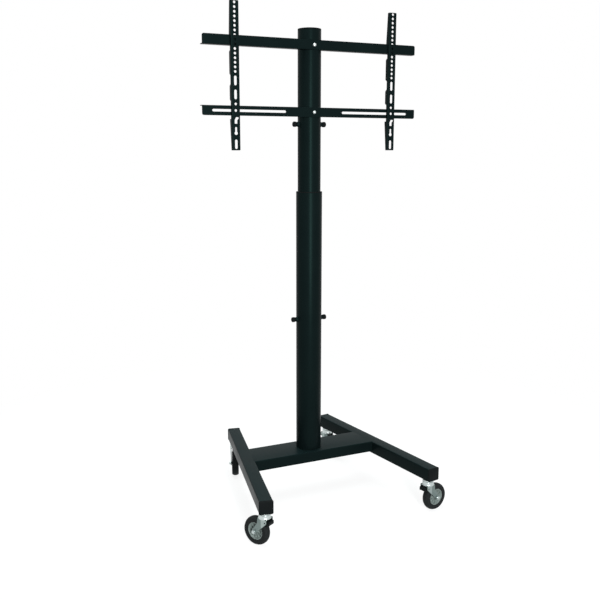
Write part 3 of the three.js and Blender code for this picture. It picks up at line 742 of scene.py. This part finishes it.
def makeFoot():
    radius, high = base["footRadius"], base["footThickness"]
    disc = rod(radius, 0, high, 64, 0.8, 0.8)
    finished("footPlate", disc, "paint", "base", "foot_plate", onBase(0, 0, gap))
    head, washer, shank, tip = base["boltHead"], base["boltWasher"], base["boltRadius"], base["boltTip"]
    rim = head - 0.1
    profile = [(0, -washer), (rim, -washer, 0.3), (rim, 0), (shank, 0), (shank, tip, 1), (0, tip)]
    for side, x in (("left", -base["boltPlace"]), ("right", base["boltPlace"])):
        bolt = together(hexHead(head, -base["boltHeadHeight"], -washer), turned(profile, 28))
        place = onBase(x, 0, -base["crossHeight"] - gap)
        finished("foot_bolt_" + side, bolt, "zinc", "base", "foot_bolt_" + side, place)


def hexHead(radius, low, high, bore=0.0):  # a hexagon whose corners are chamfered at both ends
    ease, rise = radius * 0.9, radius * 0.09
    blank = [(0, low), (ease, low), (radius, low + rise), (radius, high - rise), (ease, high), (0, high)]
    shape = carved(prism(circleLoop(0, 0, radius, 6), low, high), lathe(blank, 36), "INTERSECT")
    return carved(shape, rod(bore, low - 1, high + 1)) if bore else shape


for side in (-1, 1):
    makeLeg(side)
makeCross()
makeWelds()
makeFoot()
print("stage: base made")


# Column

column = {
    "lowerRadius": 40, "lowerWall": 3, "lowerTop": 972,
    "upperRadius": 35, "upperWall": 2.5, "upperFoot": 383, "upperTop": 1446.7,
    "edge": 0.5,
    "lip": 2.5,
    "skirt": 45,
    "capTop": 1450, "capDome": 2.3, "capSpigot": 18, "capWall": 2.5,
    "glideHeight": 15, "glideSpigot": 20, "glideWall": 3,
    "steps": 96,
}


def makeTube(name, node, body, radius, wall, foot, top):
    inner, edge = radius - wall, column["edge"]
    profile = [(inner, foot, edge), (radius, foot, edge), (radius, top, edge), (inner, top, edge)]
    finished(name, turned(profile, column["steps"], 3), "paint", body, node, columnPlace)


def makeColumn():
    lower, upper, steps = column["lowerRadius"], column["upperRadius"], column["steps"]
    mouth, lip = column["lowerTop"], column["lip"]
    lowerSize = lower, column["lowerWall"], stand["baseTop"] + gap, mouth
    upperSize = upper, column["upperWall"], column["upperFoot"], column["upperTop"]
    makeTube("outerTube", "lower_tube", "base", *lowerSize)
    makeTube("innerTube", "upper_tube", "mast", *upperSize)

    inLower = lower - column["lowerWall"] - gap
    inner, foot, seat = upper + gap, mouth - column["skirt"], mouth + gap
    profile = [
        (inner, foot, 0.6), (inLower, foot, 0.6), (inLower, seat), (lower, seat, 0.4),
        (lower, seat + lip, 1.4), (inner, seat + lip, 0.8),
    ]
    finished("collarRing", turned(profile, steps), "plastic", "base", "guide_collar", columnPlace)

    inUpper = upper - column["upperWall"] - gap
    hollow = inUpper - column["capWall"]
    rim, top, dome = column["upperTop"] + gap, column["capTop"], column["capDome"]
    foot = rim - column["capSpigot"]
    profile = [
        (0, rim), (hollow, rim), (hollow, foot, 0.5), (inUpper, foot, 0.8), (inUpper, rim),
        (upper, rim, 0.4), (upper, top, 1.4), (upper * 0.86, top - 0.1, 0.4),
        (upper * 0.84, top + 0.5, 0.6), (upper * 0.5, top + dome * 0.72, 4),
        (0, top + dome),
    ]
    finished("crownCap", turned(profile, steps), "plastic", "mast", "top_cap", columnPlace)

    hollow, rim = inUpper - column["glideWall"], column["upperFoot"] - gap
    foot, top = rim - column["glideHeight"], rim + column["glideSpigot"]
    profile = [
        (hollow, foot, 0.8), (inLower, foot, 1), (inLower, rim, 0.8), (inUpper, rim),
        (inUpper, top, 0.8), (hollow, top, 0.6),
    ]
    finished("glide", turned(profile, steps), "plastic", "mast", "glide_ring", columnPlace)


handScrew = {
    "bossLength": 7, "bossRoot": 10, "bossTip": 6.5,
    "length": 11.5,
    "radius": 8,
    "neck": 5.5,
    "stud": 4,
    "flutes": 12,
    "fluteDepth": 0.55,
    "lowerHeight": 428,
    "upperHeight": 1027.5,
    "upperStudTip": 3,  # past the wall, into the inner tube
}


def makeHandScrew(level, side, body, studTip):
    name = level + ("_left" if side < 0 else "_right")
    radius, wall = column[level + "Radius"], column[level + "Wall"]
    seat, tip = radius - wall / 2, radius + handScrew["bossLength"]
    stud, bossRoot, bossTip = handScrew["stud"], handScrew["bossRoot"], handScrew["bossTip"]
    bore = stud + gap
    profile = [
        (bore, seat), (bossRoot, seat), (bossRoot, radius - 0.6, 0.5),
        (bossTip + 1.2, radius + 3.2, 3), (bossTip, tip, 0.7), (bore, tip, 0.4),
    ]
    facing = Matrix.Rotation(pi if side < 0 else 0, 4, "Z")
    place = onBase(0, 0, handScrew[level + "Height"]) @ facing
    boss = carved(moved(turned(profile, 40), layAlongX), rod(radius + gap, -15, 15, column["steps"]))
    finished(name + "_boss", boss, "paint", body, name + "_boss", place)

    foot = tip + gap
    top = foot + handScrew["length"]
    grip, neck = handScrew["radius"], handScrew["neck"]
    flutes, depth = handScrew["flutes"], handScrew["fluteDepth"]

    def gripShape(angle, reach, at):
        inGrip = foot + 1.8 < at < top - 1.2 and reach > neck + 1
        return reach - depth * (0.5 - 0.5 * cos(flutes * angle)) ** 2 if inGrip else reach

    profile = [
        (0, foot), (neck, foot, 0.4), (grip - 0.6, foot + 1.6, 0.5),
        (grip, foot + 2.6, 0.6), (grip, top - 2, 1.2), (grip - 2.2, top, 1.2),
        (grip * 0.45, top, 0.5), (grip * 0.4, top - 0.5, 0.3), (0, top - 0.5),
    ]
    knob = moved(turned(profile, flutes * 8, 4, gripShape), layAlongX)
    finished(name + "_grip", knob, "plastic", name + "_knob", name + "_knob", place)
    screw = moved(rod(stud, radius - wall - studTip, foot + 0.4, 24, 0.6), layAlongX)
    finished(name + "_stud", screw, "zinc", name + "_knob", None, place)


makeColumn()
lowerStudTip = column["lowerRadius"] - column["lowerWall"] - column["upperRadius"] - gap
for side in (-1, 1):
    makeHandScrew("lower", side, "base", lowerStudTip)
    makeHandScrew("upper", side, "mast", handScrew["upperStudTip"])
print("stage: column made")


# Rails

rails = {
    "wall": 2,
    "height": 28,
    "flange": 20,
    "fold": 3.2,
    "front": 37.3,
    "corner": 6,
    "upperLength": 682,
    "lowerLength": 690,
    "upperCentre": 1253.4,
    "lowerCentre": 1061.7,
    "slotWidth": 7, "slotInner": 91, "slotMargin": 29.5,
    "clear": 35.3,  # the notch's radius, round the column
    "notchSteps": 32,
    "boltHole": 3.3,
    "edge": 0.3,
}
railBolt = {
    "shank": 3,
    "tip": 3,  # past the nut
    "head": 5.25, "headHeight": 3.3,
    "socket": 2, "socketFoot": 1.6,
    "nut": 5.8, "nutHeight": 5,
}


def railOutline(length):  # along the rail, and up from the folded edge on the flat sheet
    half, top, corner = length / 2, rails["height"], rails["corner"]
    front, flange, clear = rails["front"], rails["flange"], rails["clear"]
    deep = depthToFlat(flange, rails["fold"])
    corners = [(half, deep, 1), (half, top, corner), (-half, top, corner), (-half, deep, 1)]
    reach = sqrt(clear**2 - (front - flange) ** 2)
    notch = []
    for k in range(rails["notchSteps"] + 1):
        x = reach * (2 * k / rails["notchSteps"] - 1)
        depth = front - sqrt(max(clear**2 - x * x, 0))
        notch.append(Vector((x, depthToFlat(min(depth, flange), rails["fold"]))))
    return softLoop(corners, True, 6) + notch


def makeRail(level, up, openings):
    middle, height = rails["height"] / 2, rails[level + "Centre"]
    loops = [railOutline(rails[level + "Length"])] + openings
    loops = [[Vector((p[1], p[0])) for p in loop] for loop in loops]
    sheet = plate(loops, rails["wall"], "paint", 1, (middle, 0, 0), (0, 1, 0), rails["boltHole"])
    sheet = folded(softened(sheet, rails["edge"], 1, 60), rails["fold"])
    # the folded sheet's X runs up its web from the fold, its Z runs along the rail
    turn = Matrix(((0, 0, 1, 0), (0, 1, 0, 0), (-up, 0, 0, up * middle), (0, 0, 0, 1)))
    place = onBase(0, -rails["front"], height) @ turn
    finished(level + "Angle", sheet, "paint", "mast", level + "_rail", place)

    foot = rails["front"] + gap
    shank, head, top = railBolt["shank"], railBolt["head"], foot + railBolt["headHeight"]
    nut, bore = railBolt["nut"], column["upperRadius"] - column["upperWall"]
    inside = sqrt(bore**2 - nut**2) - gap
    nutFoot = inside - railBolt["nutHeight"]
    tip = nutFoot - railBolt["tip"]
    profile = [
        (0, tip), (shank, tip, 0.8), (shank, foot), (head, foot, 0.4),
        (head, foot + 0.9, 0.6), (head * 0.72, foot + railBolt["headHeight"] * 0.86, 1.6),
        (head * 0.5, top, 0.5), (0, top),
    ]
    hexagon = circleLoop(0, 0, railBolt["socket"], 6)
    socket = prism(hexagon, foot + railBolt["socketFoot"], top + 1)
    place = onBase(0, 0, height) @ turnX
    screw = carved(turned(profile, 40), socket)
    finished(level + "RailScrew", screw, "zinc", "mast", level + "_rail_bolt", place)
    nutShape = hexHead(nut, nutFoot, inside, shank + gap)
    finished(level + "RailNut", nutShape, "zinc", "mast", level + "_rail_nut", place)


slotOuter = rails["lowerLength"] / 2 - rails["slotMargin"]
slotSize = (slotOuter - rails["slotInner"], rails["slotWidth"])
slotMiddle = (slotOuter + rails["slotInner"]) / 2
railSlots = [slotLoop(x, rails["height"] / 2, *slotSize) for x in (-slotMiddle, slotMiddle)]
makeRail("upper", -1, [])
makeRail("lower", 1, railSlots)
print("stage: rails made")


# Arms

arms = {
    "width": 24,
    "wall": 2,
    "depth": 17,
    "fold": 3.0,
    "top": 1357.5,
    "foot": 950.7,
    "corner": 2.5,
    "front": 47.0,
    "standOff": 9.7,
    "holes": 16,
    "holePitch": 12.3,
    "topHole": 1352.3,
    "holeRadius": 3.7,
    "lowHoles": (1079.5, 1061.5),
    "slots": (1143.5, 1105.5, 967.8),
    "slotWidth": 8, "slotHeight": 26.5,
    "latchFoot": 1025,
    "latch": [(-4, 0), (4, 0), (4, 10), (8, 14), (8, 18), (0, 18), (-4, 10)],
    "keyholeTop": 1013, "keyholeNarrow": 3, "keyholeFoot": 998.7, "keyholeWide": 5,
    "edge": 0.28,
    "places": {"left": -249, "right": 255.5},
}


def armOutline():  # across the arm, and its height; the flange's depths are laid flat
    railTop = rails["upperCentre"] + rails["height"] / 2
    notch, hook = arms["standOff"] - gap, arms["standOff"] + rails["wall"] + gap
    depth, width, corner = arms["depth"], arms["width"], arms["corner"]
    flange = [
        (10, arms["top"], 1.5), (depth, railTop + 4, 6), (depth, railTop - 8, 1.2),
        (hook, railTop - 8, 0.8), (hook, railTop + gap), (notch, railTop + gap),
        (notch, 1226, 1.5), (depth, 1222, 2.5), (depth, 1163, 2.5), (9, 1158, 2.5),
        (9, 1134, 2.5), (depth, 1129, 2.5), (depth, 1092, 2.5), (notch, 1087, 1.5),
        (notch, 1038.3), (18, 1038, 0.5), (9, arms["foot"], 1.5),
    ]
    web = [(width, arms["foot"], corner), (width, arms["top"], corner)]
    return web + [(depthToFlat(p[0], arms["fold"]), *p[1:]) for p in flange]


def armOpenings():
    middle = arms["width"] / 2
    loops = [slotLoop(middle, z, arms["slotWidth"], arms["slotHeight"]) for z in arms["slots"]]
    loops += [circleLoop(middle, z, arms["holeRadius"]) for z in arms["lowHoles"]]
    latch = [(middle + x, arms["latchFoot"] + z, 0.6) for x, z in arms["latch"]]
    loops.append(softLoop(latch, True, 3))
    narrow, wide = arms["keyholeNarrow"], arms["keyholeWide"]
    meets = acos(narrow / wide)
    keyhole = arc(middle, arms["keyholeTop"], narrow, 0, pi, 8)
    keyhole += arc(middle, arms["keyholeFoot"], wide, pi - meets, pi + 2 * meets, 18)
    return loops + [keyhole]


def makeArm(name, place):
    width = arms["width"]
    loops = [softLoop(armOutline(), True, 4)] + armOpenings()
    first, pitch = (width / 2, arms["topHole"], 0), (0, -arms["holePitch"], 0)
    sheet = plate(loops, arms["wall"], "paint", arms["holes"], first, pitch, arms["holeRadius"])
    sheet = folded(softened(sheet, arms["edge"], 1, 60), arms["fold"])
    spot = onBase(place - width / 2, -arms["front"], 0)
    finished(name + "Hanger", sheet, "paint", name + "_arm", name + "_arm", spot)


for name, place in arms["places"].items():
    makeArm(name, place)
print("stage: arms made")


# Casters

caster = {
    "trail": 28,
    "wheelRadius": 42, "wheelWidth": 23,
    "hubRadius": 26, "hubRim": 9.75, "hubDish": 6, "hubWeb": 3.2,
    "bossRadius": 8, "bossReach": 12.4,
    "axle": 3, "axleHead": 5.3, "axleWasher": 5.75, "axleNut": 5.8, "axleInsert": 4.7,
    "inner": 26,
    "cheek": 2.2,
    "eye": 8,
    "crownRadius": 18.5, "crownLow": 88,
    "raceLow": 101, "raceTop": 107.7, "raceRadius": 17,
    "stemRadius": 6, "stemTop": 141.7,
    "threadPitch": 1.5, "threadDepth": 0.7,
    "spokes": 10,
    "spokeWidth": 2.2,
    "pedalAhead": 12, "pedalHeight": 80, "pedalWidth": 20, "pedalPin": 2, "pedalRibs": 4,
    "turns": {"front_left": 30, "front_right": -77, "rear_left": 161, "rear_right": 200},
}


def casterPlace(corner):
    side, splay, inset = -1 if "left" in corner else 1, stand["legSplay"], stand["casterInset"]
    reach = stand["frontReach"] - inset if "front" in corner else inset - stand["rearReach"]
    x = side * (stand["legSpacing"] / 2 + reach * sin(splay))
    turn = Matrix.Rotation(radians(caster["turns"][corner]), 4, "Z")
    return columnPlace @ shift(x, -reach * cos(splay), 0) @ turn


def acrossFork(bm, y, z):  # what was made along Z is laid along the caster's X
    return moved(bm, layAlongX, shift(0, y, z))


def bothSides(profile):  # of a wheel's profile, given for one side from the inside out
    return [(p[0], -p[1], *p[2:]) for p in profile] + profile[::-1]


def band(inner, outer, low, high, ease=0.3):
    profile = [(inner, low, 0.3), (outer, low, 0.3), (outer, high, ease), (inner, high, 0.3)]
    return turned(profile, 32)


def makeStem():
    radius, race, pitch = caster["stemRadius"], caster["raceRadius"], caster["threadPitch"]
    raceLow, raceTop, top = caster["raceLow"], caster["raceTop"], caster["stemTop"]
    under, root = caster["crownLow"] - gap, radius - caster["threadDepth"]
    profile = [
        (0, under - 3), (6.5, under - 3, 1.2), (8, under - 1.2, 0.8), (8, under, 0.3),
        (radius, under), (radius, raceLow), (race, raceLow, 0.8), (race, raceTop - 3, 2.5),
        (race - 4, raceTop, 1.5), (radius + 0.2, raceTop),
    ]
    z = raceTop + pitch
    while z < top - 2 * pitch:
        profile += [(root, z), (radius, z + pitch / 2)]
        z += pitch
    profile += [(root, top - pitch), (radius - 1.5, top, 0.4), (0, top)]
    return turned(profile, 40, 4)


def makeFork():
    low, high = caster["crownLow"], caster["crownLow"] + caster["cheek"]
    eyeY, eyeZ, eye = caster["trail"], caster["wheelRadius"], caster["eye"]
    pinY, pinZ, pin = -caster["pedalAhead"], caster["pedalHeight"], caster["pedalPin"] + gap
    half = caster["inner"] / 2 + caster["cheek"]
    front = softLoop([(-17, high), (-17, 78, 7), (-4, 64.5, 14), (eyeY - eye, eyeZ + 1)], False, 6)
    wrap = arc(eyeY, eyeZ, eye, pi, 1.22 * pi, 12)
    rear = softLoop([wrap[-1], (16.6, 72, 9), (14, high)], False, 6)
    cheeks = moved(prism(front + wrap + rear[1:], -half, half), alongX)
    cheeks = carved(cheeks, prism(boxLoop(caster["inner"], 160, 1, 2), 0, low))
    axleBore = acrossFork(rod(caster["axle"] + gap, -half - 1, half + 1), eyeY, eyeZ)
    pinBore = acrossFork(rod(pin, -half - 1, half + 1), pinY, pinZ)
    cheeks = carved(cheeks, together(axleBore, pinBore))

    radius, race, top = caster["crownRadius"], caster["raceRadius"] + 0.2, caster["raceLow"] - gap
    bore = caster["stemRadius"] + gap
    profile = [
        (bore, low), (radius, low, 0.8), (radius, high, 1.2), (race, high + 2.2, 2),
        (race, top - 1.1, 0.9), (race - 1.7, top, 0.5), (bore, top),
    ]
    crown = turned(profile)

    outline = [(-16.2, high - 1, 1), (-16.2, 78, 7), (-3.6, 65, 12), (1.6, 60.6, 1), (2, high - 1, 1)]
    ribs = []
    for side in (-1, 1):
        rib = softened(prism(softLoop(outline, True, 4), half - 0.5, half + 1), 0.45)
        ribs.append(moved(rib, alongX, Matrix.Scale(side, 4, (1, 0, 0))))
    ribs = carved(together(*ribs), acrossFork(rod(pin, -half - 2, half + 2), pinY, pinZ))
    return softened(cheeks, 0.5), crown, ribs


def makeTyre():
    half, radius, inner = caster["wheelWidth"] / 2, caster["wheelRadius"], caster["hubRadius"]
    profile = [
        (inner, half - 1.2, 0.6), (inner + 3, half, 0.8), (inner + 5, half, 0.4),
        (inner + 5.6, half - 0.6, 0.3), (radius - 5.5, half - 0.6, 0.3),
        (radius - 4, half, 2.5), (radius - 1, half - 5, 4), (radius, 3, 3),
    ]
    return acrossFork(turned(bothSides(profile), 72, 4), caster["trail"], radius)


def makeHub():
    outer, rim, dish = caster["hubRadius"] - gap, caster["hubRim"], caster["hubDish"]
    boss, reach, web = caster["bossRadius"], caster["bossReach"], caster["hubWeb"]
    profile = [
        (caster["axle"] + gap, reach, 0.3), (boss - 1, reach, 0.8), (boss, dish, 1.5),
        (boss + 2.5, web, 1.5), (outer - 6, web, 1.5), (outer - 3.6, rim - 1.5, 1),
        (outer - 2.6, rim, 0.6), (outer, rim, 0.6),
    ]
    shapes = [turned(bothSides(profile), 72, 3)]
    start, end, half = boss - 2, outer - 3, caster["spokeWidth"] / 2
    outline = [(start, -half, 0.3), (end, -half, 0.3), (end, half, 0.3), (start, half, 0.3)]
    for side in (-1, 1):
        spoke = prism(softLoop(outline, True, 2), 0.5, 1.0)
        for vertex in spoke.verts:
            if vertex.co.z > 0.9:  # the outer edge rises towards the rim
                vertex.co.z = dish + 1 + 1.6 * (vertex.co.x - boss) / (outer - boss)
        spoke = moved(spoke, Matrix.Scale(side, 4, (0, 0, 1)))
        shapes.append(repeated(spoke, caster["spokes"], "hub", 2 * pi / caster["spokes"]))
    return acrossFork(together(*shapes), caster["trail"], caster["wheelRadius"])


def makeAxle():
    radius, face = caster["axle"], caster["inner"] / 2 + caster["cheek"] + gap
    shank = rod(radius, -face - 2, face + 5.4, 24, 0, 0.6)
    head = hexHead(caster["axleHead"], -face - 4, -face - 0.8)
    washer = band(radius, caster["axleWasher"], -face - 0.9, -face)
    nut = hexHead(caster["axleNut"], face, face + 3.6, radius + 0.1)
    insert = band(radius + 0.1, caster["axleInsert"], face + 3.4, face + 4.8, 0.8)
    bolt, nut = together(shank, head, washer), together(nut, insert)
    return [acrossFork(bm, caster["trail"], caster["wheelRadius"]) for bm in (bolt, nut)]


def makePedal():
    width = caster["pedalWidth"]
    outline = [
        (-13, -7, 2.4), (-6, -6.4, 4), (-3.6, -6.2, 2), (-1.4, -10.6, 1), (0.8, -12.8, 1.4),
        (4.6, -11.6, 1.6), (5, -4, 3), (4.8, 2.6, 3.6), (0, 4.9, 3), (-7, 4.4, 5),
        (-13, 4, 2.6),
    ]
    block = moved(prism(softLoop(outline, True, 5), -width / 2, width / 2), alongX)
    block = softened(block, 1.1, 3, 60)
    reach = width / 2 - 2.5
    rib = softened(prism(boxLoop(0.9, 1.0, 0.3, 2), -reach, reach), 0.2, 1, 60)
    rib = moved(rib, alongX, shift(0, -10.4, 4.1))
    ribs = repeated(rib, caster["pedalRibs"], "pedal", 0.0, (0, 2.4, 0.12))
    reach = caster["inner"] / 2 + caster["cheek"]
    pin = moved(rod(caster["pedalPin"], -reach, reach, 24, 0.4, 0.4), layAlongX)
    return moved(together(block, ribs, pin), shift(0, -caster["pedalAhead"], caster["pedalHeight"]))


def makeCasters():
    bolt, nut = makeAxle()
    cheeks, crown, ribs = makeFork()
    shapes = {
        "stem": (makeStem(), "zinc", "base"),
        # the fork's cheeks and ribs take darker copies of the zinc plate, as painted shade
        "fork": (cheeks, "shadedZinc", "_swivel"),
        "crown": (crown, "zinc", "_swivel"),
        "ribs": (ribs, "halfShadedZinc", "_swivel"),
        "tyre": (makeTyre(), "tyre", "_wheel"),
        "hub": (makeHub(), "hub", "_wheel"),
        "axle_bolt": (bolt, "zinc", "_swivel"),
        "axle_nut": (nut, "zinc", "_swivel"),
        "brake_pedal": (makePedal(), "pedal", "_brake"),
    }
    for corner in caster["turns"]:
        place = casterPlace(corner)
        for part, (shape, finish, body) in shapes.items():
            rides = body if body == "base" else corner + body
            name = corner + "_" + part
            node = None if part in ("crown", "ribs") else name
            finished(name, shape.copy(), finish, rides, node, place)


makeCasters()
print("stage: casters made")


# Room, light and camera

white = (1, 1, 1, 1)
room = {
    "floorSize": 24, "floorColour": (0.26, 0.27, 0.27, 1), "floorGlow": 0.86,
    "fadeFrom": 0.5, "fadeTo": 1.6,
    "worldColour": (0.93, 0.97, 0.98, 1), "worldStrength": 0.05,
    "lamps": [
        # name, place, aims at, width, height, power, colour
        ("topLamp", (-0.4, 0.5, 3.4), (0, 0, 0.2), 3.0, 3.0, 80, (0.95, 1.0, 1.0)),
        ("frontLamp", (-0.5, -2.85, 1.2), (0, 0, 1.15), 0.3, 1.9, 95, (1.0, 1.0, 1.0)),
    ],
}


def makeFloor():
    half = room["floorSize"] / 2
    bm = bmesh.new()
    corners = [(-half, -half), (half, -half), (half, half), (-half, half)]
    bm.faces.new([bm.verts.new((x, y, 0)) for x, y in corners])
    floor = asObject(bm, "studioFloor")
    material, graph, where = startFinish("paleFloor")
    matt = graph.node("ShaderNodeBsdfDiffuse", {}, {"Color": room["floorColour"]})["BSDF"]
    glow = graph.light("Emission", white, room["floorGlow"])
    lit = graph.node("ShaderNodeAddShader", {}, {0: matt, 1: glow})["Shader"]
    reach = graph.node("ShaderNodeVectorMath", {"operation": "LENGTH"}, {0: where})["Value"]
    far = graph.ranged(reach, room["fadeFrom"], room["fadeTo"])
    faded = graph.blended(far, lit, graph.light("Emission", white, 1.0))
    shader = graph.blended(graph.shown(), matt, faded)
    graph.node("ShaderNodeOutputMaterial", {}, {"Surface": shader})
    floor.data.materials.append(material)


def makeWorld():
    world = bpy.data.worlds.new("studio")
    bpy.context.scene.world = world
    graph = emptied(world)
    dim = graph.light("Background", room["worldColour"], room["worldStrength"])
    shader = graph.blended(graph.shown(), dim, graph.light("Background", white, 1.0))
    graph.node("ShaderNodeOutputWorld", {}, {"Surface": shader})


def makeLamps():
    for name, place, aim, width, height, power, colour in room["lamps"]:
        lamp = bpy.data.lights.new(name, "AREA")
        lamp.shape, lamp.size, lamp.size_y = "RECTANGLE", width, height
        lamp.energy, lamp.color = power, colour
        holder = inScene(name, lamp)
        holder.location = place
        holder.rotation_euler = (Vector(aim) - Vector(place)).to_track_quat("-Z", "Y").to_euler()


view = {"place": (-0.9762, -2.11646, 1.1012), "yaw": 23.715, "pitch": 11.162}
view |= {"lens": 45.77, "sensor": 36}


def makeCamera():
    camera = bpy.data.cameras.new("standCamera")
    camera.lens = view["lens"]
    camera.sensor_width = view["sensor"]
    holder = inScene("standCamera", camera)
    holder.location = view["place"]
    holder.rotation_euler = (radians(90 - view["pitch"]), 0, radians(-view["yaw"]))
    bpy.context.scene.camera = holder


makeFloor()
makeWorld()
makeLamps()
makeCamera()
bpy.context.scene.view_settings.view_transform = "Standard"
print("stage: room, light and camera made")
